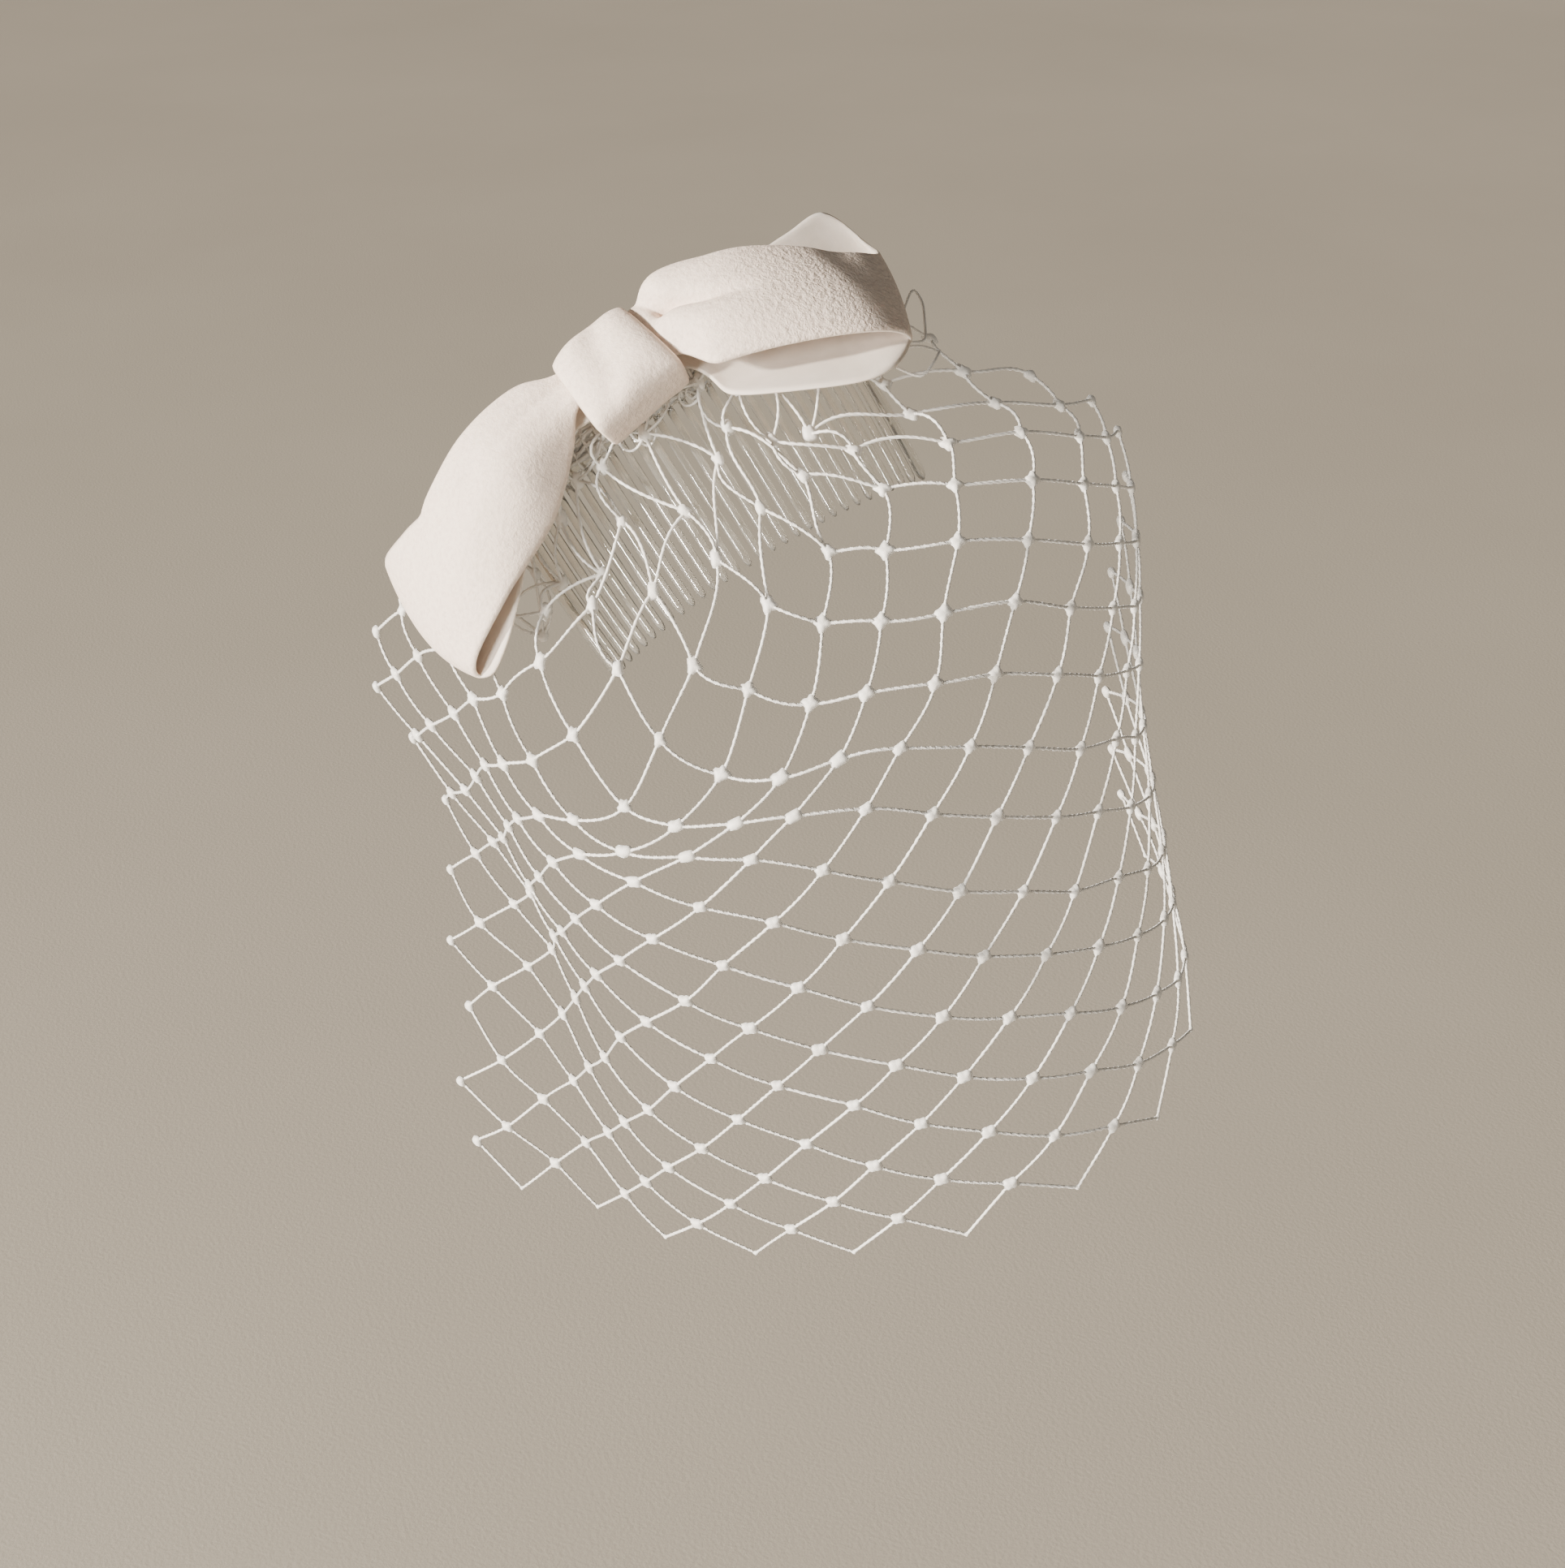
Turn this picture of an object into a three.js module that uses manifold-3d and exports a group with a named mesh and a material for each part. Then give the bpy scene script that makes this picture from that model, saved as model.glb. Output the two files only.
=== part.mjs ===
import * as THREE from 'three';
import Module from 'manifold-3d';
import { mergeVertices } from 'three/addons/utils/BufferGeometryUtils.js';

// A birdcage veil: diamond net gathered on a clear hair comb, with a ribbon bow sewn over the gathers.
// Millimetres, +Z up. The wearer faces -Y and the wearer's right is -X.
// The origin is the middle of the comb's spine, where the comb sits in the hair.

const wasm = await Module();
wasm.setup();

// Comb
const combArc = 92;            // length of the spine along its curve
const combBend = 57;           // radius that the comb is curved to
const spineHeight = 6;         // along the teeth
const spineThickness = 2.4;
const spineBevel = 0.8;
const toothCount = 30;
const toothLength = 37;
const toothWidth = 1.7;
const toothThickness = 1.5;
const guardWidth = 2.6;        // the wider tooth at each end
const toothSweep = 2.5;        // how far the tips curve in towards the head

// Net
const netDrop = 230;           // from the spine down to the lowest point of the hem
const netReach = 100;          // from the head's axis out to the net, the measure for the sections
const axisBack = 51;           // the head's axis lies this far behind the origin
const axisSide = 38;           // and this far towards the wearer's left
const columnCount = 16;        // half diamonds across the net
const rowCount = 15;           // half diamonds down it
const strandWidth = 1.8;
const strandThickness = 1.2;
const knotSwell = 1.35;        // a knot is this much wider than its strands
const headingWidth = 5;        // the bunched top edge of the net, along the teeth
const headingThickness = 2.6;
const headingBevel = 1;
const headingEnd = 2;          // the outermost knots sit this far in from the heading's ends
const overTeeth = 1.1;         // least space between the net and the teeth
const teethEase = 12;          // beyond the teeth this space fades out over this length

// Bow
const ribbonWidth = 50;
const ribbonThickness = 1.4;
const leftLoop = 64;           // from the middle of the bow to the fold, along its curve
const rightLoop = 53;
const leftSweep = 1;           // degrees that a loop turns towards the face
const rightSweep = 24;
const loopRise = 12;           // between the two layers of a loop where it is fullest
const bowBend = 84;            // radius that the bow is curved to
const bowShift = -3;           // the bow's middle, along the spine
const bowSetBack = 5;          // and behind it
const knotWidth = 18;          // along the bow
const knotFlare = 1.5;           // how much each side of the band spreads towards the face
const knotDepth = 22.5;          // across the bow
const knotForward = 1.5;       // the knot's middle, towards the face from the bow's
const knotHeight = 12;
const knotPillow = 1.2;        // how much fuller the band's front is in the middle
const knotGap = 0.5;           // between the band and the ribbon that it holds

const clearance = 0.3;

// Directions of the comb: along the spine, along the teeth, and out of the head
const alongSpine = new THREE.Vector3(0.858, -0.104, 0.503).normalize();
const alongTeeth = new THREE.Vector3(0.28, -0.724, -0.627).projectOnPlane(alongSpine).normalize();
const outOfHead = new THREE.Vector3().crossVectors(alongTeeth, alongSpine);

// Directions of the bow, which lies further back on the crown
const alongBow = new THREE.Vector3(0.817, 0.026, 0.576).normalize();
const outOfBow = new THREE.Vector3(-0.514, -0.422, 0.747).projectOnPlane(alongBow).normalize();
const acrossBow = new THREE.Vector3().crossVectors(alongBow, outOfBow);

// The net's level sections from the heading to the hem. down is the share of the net's length.
// turn_left and turn_right are where a section ends, in degrees round the head's axis from the front.
// reach and level have one value for each of the bearings, as shares of netReach and netDrop.
const bearings = [0, 0.18, 0.42, 0.7, 1];
const sections = [
  { down: 0.13, turn_left: -73, turn_right: 29, reach: [0.82, 0.86, 0.93, 0.75, 0.67],
    level: [0.17, 0.165, 0.125, 0.035, -0.015] },
  { down: 0.26, turn_left: -86, turn_right: 49, reach: [0.91, 0.93, 1.08, 0.96, 0.81],
    level: [0.275, 0.265, 0.3, 0.08, 0.05] },
  { down: 0.43, turn_left: -90, turn_right: 58, reach: [0.84, 0.84, 1.14, 1.09, 0.88],
    level: [0.415, 0.42, 0.36, 0.22, 0.145] },
  { down: 0.65, turn_left: -91, turn_right: 66, reach: [0.77, 0.7, 1.065, 1.13, 0.86],
    level: [0.625, 0.605, 0.545, 0.44, 0.305] },
  { down: 0.83, turn_left: -88, turn_right: 67, reach: [0.78, 0.685, 0.975, 1.225, 0.88],
    level: [0.805, 0.775, 0.72, 0.58, 0.455] },
  { down: 1, turn_left: -85, turn_right: 71, reach: [0.77, 0.665, 0.89, 1.265, 0.95],
    level: [0.965, 0.94, 0.88, 0.735, 0.59] },
];

// Each loop of ribbon from under the knot, out along the back layer, round the fold and home along the front.
// out is a share of the loop's length, and rise and curl of loopRise. The others are shares of ribbonWidth:
// crown and face are where the ribbon's two edges lie, arch is how far its middle stands above them,
// and bulge how far the middle reaches out past them. curl is how far the face edge bends down.
const leftStations = [
  { out: 0.01, rise: 0.16, crown: -0.12, face: 0.06, arch: 0.01, curl: 0, bulge: 0 },
  { out: 0.15, rise: 0.13, crown: -0.13, face: 0.07, arch: 0.01, curl: 0, bulge: 0 },
  { out: 0.28, rise: 0.06, crown: -0.2, face: 0.14, arch: 0.01, curl: 0, bulge: 0 },
  { out: 0.5, rise: 0, crown: -0.29, face: 0.26, arch: 0, curl: 0, bulge: 0 },
  { out: 0.76, rise: 0, crown: -0.39, face: 0.37, arch: 0, curl: 0, bulge: 0.03 },
  { out: 0.94, rise: 0.12, crown: -0.44, face: 0.37, arch: 0, curl: 0, bulge: 0.08 },
  { out: 1, rise: 0.38, crown: -0.44, face: 0.35, arch: 0, curl: 0, bulge: 0.1 },
  { out: 0.93, rise: 0.66, crown: -0.38, face: 0.34, arch: 0, curl: 0.1, bulge: 0.08 },
  { out: 0.72, rise: 0.84, crown: -0.25, face: 0.35, arch: 0.01, curl: 0.25, bulge: 0.02 },
  { out: 0.45, rise: 0.86, crown: -0.25, face: 0.29, arch: 0.02, curl: 0.5, bulge: 0 },
  { out: 0.26, rise: 0.64, crown: -0.24, face: 0.12, arch: 0.02, curl: 0.35, bulge: 0 },
  { out: 0.15, rise: 0.48, crown: -0.16, face: 0.04, arch: 0.02, curl: 0.1, bulge: 0 },
  { out: 0.01, rise: 0.44, crown: -0.12, face: 0.04, arch: 0.01, curl: 0, bulge: 0 },
];
const rightStations = [
  { out: 0.01, rise: 0.16, crown: -0.12, face: 0.16, arch: 0.01, curl: 0, bulge: 0 },
  { out: 0.18, rise: 0.13, crown: -0.13, face: 0.17, arch: 0.01, curl: 0, bulge: 0 },
  { out: 0.3, rise: 0.06, crown: -0.2, face: 0.27, arch: 0.01, curl: 0, bulge: 0 },
  { out: 0.5, rise: 0, crown: -0.32, face: 0.38, arch: 0, curl: 0, bulge: 0 },
  { out: 0.76, rise: 0, crown: -0.48, face: 0.42, arch: 0, curl: 0, bulge: 0.04 },
  { out: 0.92, rise: 0.12, crown: -0.6, face: 0.43, arch: 0, curl: 0, bulge: 0.1 },
  { out: 1, rise: 0.38, crown: -0.46, face: 0.42, arch: 0, curl: 0, bulge: 0.13 },
  { out: 0.96, rise: 0.66, crown: -0.3, face: 0.36, arch: 0, curl: 0, bulge: 0.09 },
  { out: 0.74, rise: 0.84, crown: -0.21, face: 0.31, arch: 0.01, curl: 0, bulge: 0.02 },
  { out: 0.45, rise: 0.86, crown: -0.21, face: 0.33, arch: 0.02, curl: 0, bulge: 0 },
  { out: 0.3, rise: 0.68, crown: -0.2, face: 0.29, arch: 0.02, curl: 0, bulge: 0 },
  { out: 0.18, rise: 0.5, crown: -0.15, face: 0.18, arch: 0.02, curl: 0, bulge: 0 },
  { out: 0.01, rise: 0.44, crown: -0.12, face: 0.16, arch: 0.01, curl: 0, bulge: 0 },
];

// A smooth curve through values at unevenly spaced places
function smooth(places, values, at) {
  const last = places.length - 1;
  const slope = (k) => {
    const a = Math.max(k - 1, 0);
    const b = Math.min(k + 1, last);
    return (values[b] - values[a]) / (places[b] - places[a]);
  };
  let k = 0;
  while (k < last - 1 && at > places[k + 1]) k += 1;
  const step = places[k + 1] - places[k];
  const u = (at - places[k]) / step;
  return (2 * u ** 3 - 3 * u ** 2 + 1) * values[k] + (u ** 3 - 2 * u ** 2 + u) * step * slope(k)
    + (3 * u ** 2 - 2 * u ** 3) * values[k + 1] + (u ** 3 - u ** 2) * step * slope(k + 1);
}

// A point of the comb: along its curve, along the teeth, and out of its middle surface
function onComb(along, down, out) {
  const angle = along / combBend;
  return new THREE.Vector3()
    .addScaledVector(alongSpine, (combBend + out) * Math.sin(angle))
    .addScaledVector(outOfHead, (combBend + out) * Math.cos(angle) - combBend)
    .addScaledVector(alongTeeth, down);
}

// A closed solid through a list of rings with the same number of points each
function loft(rings, closed = false) {
  const sides = rings[0].length;
  const positions = rings.flat().flatMap((p) => [p.x, p.y, p.z]);
  const index = [];
  const spans = closed ? rings.length : rings.length - 1;
  for (let r = 0; r < spans; r += 1) {
    const next = (r + 1) % rings.length;
    for (let s = 0; s < sides; s += 1) {
      const t = (s + 1) % sides;
      const [a, b, c, d] = [r * sides + s, r * sides + t, next * sides + t, next * sides + s];
      index.push(a, b, c, a, c, d);
    }
  }
  if (!closed) {
    const end = (rings.length - 1) * sides;
    for (let s = 1; s < sides - 1; s += 1) {
      index.push(0, s + 1, s);
      index.push(end, end + s, end + s + 1);
    }
  }
  const geometry = new THREE.BufferGeometry();
  geometry.setAttribute('position', new THREE.Float32BufferAttribute(positions, 3));
  geometry.setIndex(index);
  return facingOut(geometry);
}

// Turns the faces round where they point in
function facingOut(geometry) {
  const p = geometry.attributes.position;
  const index = geometry.index.array;
  const [a, b, c] = [new THREE.Vector3(), new THREE.Vector3(), new THREE.Vector3()];
  let volume = 0;
  for (let k = 0; k < index.length; k += 3) {
    a.fromBufferAttribute(p, index[k]);
    b.fromBufferAttribute(p, index[k + 1]);
    c.fromBufferAttribute(p, index[k + 2]);
    volume += a.dot(b.cross(c));
  }
  if (volume < 0) geometry.setIndex(Array.from(index).reverse());
  return geometry;
}

// Booleans work on solids, so a geometry is turned into one and back
function toSolid(geometry) {
  const bare = mergeVertices(geometry, 1e-4);
  return new wasm.Manifold(new wasm.Mesh({
    numProp: 3,
    vertProperties: new Float32Array(bare.attributes.position.array),
    triVerts: new Uint32Array(bare.index.array),
  }));
}

function toGeometry(solid) {
  const mesh = solid.getMesh();
  const geometry = new THREE.BufferGeometry();
  geometry.setAttribute('position', new THREE.Float32BufferAttribute(Array.from(mesh.vertProperties), 3));
  geometry.setIndex(Array.from(mesh.triVerts));
  return geometry;
}

function join(geometries) {
  return toGeometry(geometries.map(toSolid).reduce((whole, piece) => whole.add(piece)));
}

// A bar of the comb with a six-sided section, from one place along the teeth to another
function toothBar(along, width, from, to) {
  const sides = 6;
  const steps = 5;
  const rings = [];
  for (let k = 0; k <= steps; k += 1) {
    const share = k / steps;
    const down = from + (to - from) * Math.sin(share * Math.PI / 2);
    const taper = Math.sqrt(Math.max(1 - Math.max((down - to + width) / width, 0) ** 2, 0.06));
    const ring = [];
    for (let s = 0; s < sides; s += 1) {
      const turn = (s + 0.5) / sides * 2 * Math.PI;
      const side = along + width / 2 * taper * Math.cos(turn) / Math.cos(Math.PI / sides);
      const out = toothThickness / 2 * taper * Math.sin(turn) - toothSweep * (down / toothLength) ** 2;
      ring.push(onComb(side, down, out));
    }
    rings.push(ring);
  }
  return loft(rings);
}

// A bar that follows the comb's curve, with chamfered edges
const barSteps = 20;
function strip(half, low, high, bevel, from, to, steps) {
  const rings = [];
  for (let k = 0; k <= steps; k += 1) {
    const along = -half + 2 * half * k / steps;
    rings.push([
      onComb(along, low + bevel, from), onComb(along, high - bevel, from),
      onComb(along, high, (from + to) / 2),
      onComb(along, high - bevel, to), onComb(along, low + bevel, to), onComb(along, low, (from + to) / 2),
    ]);
  }
  return loft(rings);
}

// The spine with its row of teeth
function hairComb() {
  const half = combArc / 2;
  const spine = strip(half, -spineHeight / 2, spineHeight / 2, spineBevel,
    -spineThickness / 2, spineThickness / 2, barSteps);
  const root = spineHeight / 2 - 1;
  const tip = spineHeight / 2 + toothLength;
  const pitch = (combArc - guardWidth) / (toothCount - 1);
  const bars = [];
  for (let k = 0; k < toothCount; k += 1) {
    const guard = k === 0 || k === toothCount - 1;
    bars.push(toothBar((k - (toothCount - 1) / 2) * pitch, guard ? guardWidth : toothWidth, root, tip));
  }
  return join([spine, ...bars]);
}

// The net's middle surface. across runs from the left end of the comb to the right, down from it to the hem.
const headingLift = spineThickness / 2 + clearance + headingThickness / 2;
const sectionSteps = 48;
const sectionLines = sections.map((section) => {
  const line = [];
  for (let k = 0; k <= sectionSteps; k += 1) {
    const share = k / sectionSteps;
    const turn = THREE.MathUtils.degToRad(THREE.MathUtils.lerp(section.turn_left, section.turn_right, share));
    const reach = netReach * smooth(bearings, section.reach, share);
    const level = -netDrop * smooth(bearings, section.level, share);
    line.push(new THREE.Vector3(axisSide + reach * Math.sin(turn), axisBack - reach * Math.cos(turn), level));
  }
  return line;
});

// The point that lies a share of the way along a line, by length
function alongLine(line, share) {
  const lengths = [0];
  for (let k = 1; k < line.length; k += 1) lengths.push(lengths[k - 1] + line[k].distanceTo(line[k - 1]));
  const goal = share * lengths[lengths.length - 1];
  let k = 1;
  while (k < line.length - 1 && lengths[k] < goal) k += 1;
  return line[k - 1].clone().lerp(line[k], (goal - lengths[k - 1]) / (lengths[k] - lengths[k - 1]));
}

// A point of the net that would come too close to the teeth is moved out to stand over them
function clearOfComb(point) {
  const [side, up] = [point.dot(alongSpine), point.dot(outOfHead) + combBend];
  const along = Math.abs(combBend * Math.atan2(side, up));
  const out = Math.hypot(side, up) - combBend;
  const down = point.dot(alongTeeth);
  const tip = spineHeight / 2 + toothLength;
  const sweep = toothSweep * (Math.min(Math.max(down, 0), tip) / toothLength) ** 2;
  const least = (toothThickness + strandThickness) / 2 + overTeeth - sweep;
  const beyond = Math.max(along - combArc / 2, down - tip, 0);
  const push = Math.max(least - out, 0) * THREE.MathUtils.smoothstep(teethEase - beyond, 0, teethEase);
  const away = alongSpine.clone().multiplyScalar(side).addScaledVector(outOfHead, up).normalize();
  return point.addScaledVector(away, push);
}

function drape(across, down) {
  const along = (across - 0.5) * (combArc - 2 * headingEnd);
  const heading = onComb(along, 0, headingLift);
  const leaving = onComb(along, headingWidth, headingLift);
  const points = [heading, leaving, ...sectionLines.map((line) => alongLine(line, across))];
  const places = [0, headingWidth / netDrop, ...sections.map((section) => section.down)];
  const part = (key) => smooth(places, points.map((p) => p[key]), down);
  return clearOfComb(new THREE.Vector3(part('x'), part('y'), part('z')));
}

// The net as a sheet cut through between its strands: a diamond at each knot and a band along each strand
function veilNet() {
  const [columns, rows] = [columnCount, rowCount];
  const nudge = 0.01;
  const place = (q, p) => drape(p / columns, q / rows);
  const points = [];
  const normals = [];
  const faces = [];
  const frameAt = (q, p) => {
    const [q0, q1] = [Math.max(q - nudge, 0), Math.min(q + nudge, rows)];
    const [p0, p1] = [Math.max(p - nudge, 0), Math.min(p + nudge, columns)];
    const downward = place(q1, p).sub(place(q0, p)).divideScalar(q1 - q0);
    const sideways = place(q, p1).sub(place(q, p0)).divideScalar(p1 - p0);
    const normal = new THREE.Vector3().crossVectors(downward, sideways).normalize();
    return { centre: place(q, p), downward, sideways, normal };
  };
  const add = (point, normal) => {
    points.push(point);
    normals.push(normal);
    return points.length - 1;
  };
  const half = strandWidth / 2;
  const knots = new Map();
  for (let q = 0; q <= rows; q += 1) {
    for (let p = q % 2; p <= columns; p += 2) {
      const { centre, downward, sideways, normal } = frameAt(q, p);
      const one = downward.clone().add(sideways).normalize();
      const two = downward.clone().sub(sideways).normalize();
      const spread = half * knotSwell / Math.sqrt(1 - one.dot(two) ** 2);
      const corner = (a, b) => {
        const along = one.clone().multiplyScalar(a * spread).addScaledVector(two, b * spread);
        return add(along.add(centre), normal);
      };
      const knot = { low: corner(1, 1), right: corner(1, -1), high: corner(-1, -1), left: corner(-1, 1) };
      knots.set(`${q},${p}`, knot);
      faces.push([knot.low, knot.right, knot.high, knot.left]);
    }
  }
  for (let q = 0; q < rows; q += 1) {
    for (let p = q % 2; p <= columns; p += 2) {
      for (const side of [1, -1]) {
        const from = knots.get(`${q},${p}`);
        const to = knots.get(`${q + 1},${p + side}`);
        if (!to) continue;
        const { centre, downward, sideways, normal } = frameAt(q + 0.5, p + side / 2);
        const run = downward.clone().addScaledVector(sideways, side).normalize();
        const outward = new THREE.Vector3().crossVectors(normal, run).normalize();
        const one = add(centre.clone().addScaledVector(outward, half), normal);
        const two = add(centre.clone().addScaledVector(outward, -half), normal);
        if (side === 1) {
          faces.push([from.right, from.low, two, one], [one, two, to.left, to.high]);
        } else {
          faces.push([from.low, from.left, two, one], [one, two, to.high, to.right]);
        }
      }
    }
  }
  const sheet = thicken(points, normals, faces, strandThickness);
  const heading = strip(combArc / 2, -headingWidth / 2, headingWidth / 2, headingBevel,
    headingLift - headingThickness / 2, headingLift + headingThickness / 2, barSteps);
  return join([sheet, heading]);
}

// Gives a sheet of quads a thickness and walls along all its free edges
function thicken(points, normals, faces, thickness) {
  const count = points.length;
  const positions = [];
  for (const side of [0.5, -0.5]) {
    points.forEach((point, k) => {
      const moved = point.clone().addScaledVector(normals[k], side * thickness);
      positions.push(moved.x, moved.y, moved.z);
    });
  }
  const index = [];
  const open = new Map();
  for (const [a, b, c, d] of faces) {
    index.push(a, b, c, a, c, d);
    index.push(a + count, c + count, b + count, a + count, d + count, c + count);
    for (const [from, to] of [[a, b], [b, c], [c, d], [d, a]]) {
      if (open.has(`${to},${from}`)) open.delete(`${to},${from}`);
      else open.set(`${from},${to}`, [from, to]);
    }
  }
  for (const [from, to] of open.values()) index.push(from, from + count, to + count, from, to + count, to);
  const geometry = new THREE.BufferGeometry();
  geometry.setAttribute('position', new THREE.Float32BufferAttribute(positions, 3));
  geometry.setIndex(index);
  return facingOut(geometry);
}

// The bow's place: tilted back over the crown, with its front edge resting on the back edge of the heading
const bowTilt = -acrossBow.dot(outOfHead) / acrossBow.dot(alongTeeth);
const bowLift = headingLift + headingThickness / 2 + clearance + bowTilt * (bowSetBack - headingWidth / 2);
const bowSeat = onComb(bowShift, -bowSetBack, bowLift);

// A point of the bow: along its curve, across the ribbon, and out from its seat
function onBow(along, across, out) {
  const angle = along / bowBend;
  return bowSeat.clone()
    .addScaledVector(alongBow, (bowBend + out) * Math.sin(angle))
    .addScaledVector(outOfBow, (bowBend + out) * Math.cos(angle) - bowBend)
    .addScaledVector(acrossBow, across);
}

// Ribbon that follows a line of stations, with a section of four faces above and four below
function ribbonLoop(stations, length, hand, sweep) {
  const pivot = knotWidth / 2;
  const curve = (x, y, z) => new THREE.CatmullRomCurve3(
    stations.map((row) => new THREE.Vector3(x(row), y(row), z(row))),
  );
  const middle = curve((row) => row.out * length, (row) => row.rise * loopRise, (row) => row.curl * loopRise);
  const edges = curve((row) => row.crown * ribbonWidth, (row) => row.face * ribbonWidth, () => 0);
  const bends = curve((row) => row.arch * ribbonWidth, (row) => row.bulge * ribbonWidth, () => 0);
  const steps = 30;
  const shares = [-1, -0.5, 0, 0.5, 1];
  const inner = ribbonThickness + knotGap;
  const rings = [];
  for (let k = 0; k <= steps; k += 1) {
    const at = middle.getPoint(k / steps);
    const before = middle.getPoint(Math.max(k - 0.2, 0) / steps);
    const after = middle.getPoint(Math.min(k + 0.2, steps) / steps);
    const run = new THREE.Vector2(after.x - before.x, after.y - before.y).normalize();
    const { x: crown, y: face } = edges.getPoint(k / steps);
    const { x: arch, y: bulge } = bends.getPoint(k / steps);
    const edge = (share, side) => {
      const full = 1 - share * share;
      const along = at.x + bulge * full + side * ribbonThickness / 2 * run.y;
      const bent = arch * full - at.z * Math.max(share, 0) ** 2;
      const out = inner + at.y + bent - side * ribbonThickness / 2 * run.x;
      const across = crown + (face - crown) * (share + 1) / 2;
      const turn = THREE.MathUtils.degToRad(sweep) * THREE.MathUtils.smoothstep(along, pivot, 2.5 * pivot);
      return onBow(
        hand * (pivot + (along - pivot) * Math.cos(turn) - across * Math.sin(turn)),
        (along - pivot) * Math.sin(turn) + across * Math.cos(turn),
        out,
      );
    };
    const back = shares.toReversed().map((share) => edge(share, -1));
    rings.push([...shares.map((share) => edge(share, 1)), ...back]);
  }
  return loft(rings);
}

// The band round the middle: a flattened ring of ribbon that stands a little proud like a pillow
function bowKnot() {
  const around = 20;
  const wide = 6;
  const rings = [];
  for (let k = 0; k < around; k += 1) {
    const turn = k / around * 2 * Math.PI;
    const squarish = (value) => Math.sign(value) * Math.abs(value) ** 0.55;
    const ring = [];
    for (const side of [0, 1]) {
      const inset = side * ribbonThickness;
      for (let w = 0; w <= wide; w += 1) {
        const share = side === 0 ? w / wide : 1 - w / wide;
        const swell = Math.sin(share * Math.PI) * (Math.sin(turn) > 0 ? knotPillow : 0);
        const across = (knotDepth / 2 - inset) * squarish(Math.cos(turn));
        const out = knotHeight / 2 + (knotHeight / 2 - inset + swell) * squarish(Math.sin(turn));
        const width = knotWidth + 2 * knotFlare * across / knotDepth;
        ring.push(onBow((share - 0.5) * width, knotForward + across, out));
      }
    }
    rings.push(ring);
  }
  return loft(rings, true);
}

const materials = {
  comb: { color: 0xe9e4da, roughness: 0.12, metalness: 0, transparent: true, opacity: 0.45 },
  net: { color: 0xf3efe8, roughness: 0.7, metalness: 0 },
  ribbon: { color: 0xeee6de, roughness: 0.85, metalness: 0 },
};

function piece(name, geometry, finish) {
  geometry.computeVertexNormals();
  const mesh = new THREE.Mesh(geometry, new THREE.MeshStandardMaterial(materials[finish]));
  mesh.name = name;
  return mesh;
}

const veil = new THREE.Group();
veil.add(
  piece('hair_comb', hairComb(), 'comb'),
  piece('veil_net', veilNet(), 'net'),
  piece('bow_left_loop', ribbonLoop(leftStations, leftLoop, -1, leftSweep), 'ribbon'),
  piece('bow_right_loop', ribbonLoop(rightStations, rightLoop, 1, rightSweep), 'ribbon'),
  piece('bow_knot', bowKnot(), 'ribbon'),
);

export default veil;
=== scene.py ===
import math

import bpy
import numpy as np
from mathutils import Matrix, Vector


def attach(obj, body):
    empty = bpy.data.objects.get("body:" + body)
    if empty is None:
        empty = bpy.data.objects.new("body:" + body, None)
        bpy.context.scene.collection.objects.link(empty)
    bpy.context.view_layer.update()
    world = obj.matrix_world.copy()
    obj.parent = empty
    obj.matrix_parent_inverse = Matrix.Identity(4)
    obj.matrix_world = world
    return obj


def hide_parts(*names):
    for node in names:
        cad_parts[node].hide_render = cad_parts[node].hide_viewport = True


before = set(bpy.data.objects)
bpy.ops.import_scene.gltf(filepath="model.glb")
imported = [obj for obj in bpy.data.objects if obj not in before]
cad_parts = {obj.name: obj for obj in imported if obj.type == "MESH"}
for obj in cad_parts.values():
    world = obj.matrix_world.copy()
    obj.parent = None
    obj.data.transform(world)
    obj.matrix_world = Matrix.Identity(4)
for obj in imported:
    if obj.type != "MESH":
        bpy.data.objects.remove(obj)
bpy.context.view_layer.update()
rng = np.random.default_rng(20)

# Lengths of meshes are millimetres until a mesh is made, and MM turns them into metres.
# The camera, the lights, the floor's height and the materials are in metres.
MM = 0.001
FULL_TURN = 2 * math.pi

# Comb
COMB_ARC = 92
COMB_BEND = 57
SPINE_HEIGHT = 6
SPINE_THICKNESS = 2.4
SPINE_SIDES = 16
SPINE_STEPS = 60
SPINE_POWER = 0.55
SPINE_END = 1.2
SPINE_END_TAPER = 0.35
TOOTH_COUNT = 30
TOOTH_LENGTH = 37
TOOTH_WIDTH = 1.7
TOOTH_THICKNESS = 1.5
TOOTH_SWEEP = 2.5
TOOTH_SIDES = 12
TOOTH_STEPS = 16
TOOTH_POWER = 0.75
TOOTH_SUNK = 1
TIP_LEAST_SQUARE = 0.04
GUARD_WIDTH = 2.6
GUARD_INSET = 0.25

# Net
NET_DROP = 230
NET_REACH = 100
AXIS_BACK = 51
AXIS_SIDE = 38
ROWS = 23
FIRST_ROW = 0
COLUMNS = 22
STRAND_LENGTH = 17
STRAND_RADIUS = 0.35
TWIST_PITCH = 3.4
KNOT_RADIUS = 2.1
HEADING_WIDTH = 5
HEADING_THICKNESS = 2.6
HEADING_END = 2
SOLID_STRAND = 1.2
OVER_TEETH = 1.1
TEETH_EASE = 12
CLEARANCE = 0.3

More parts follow.
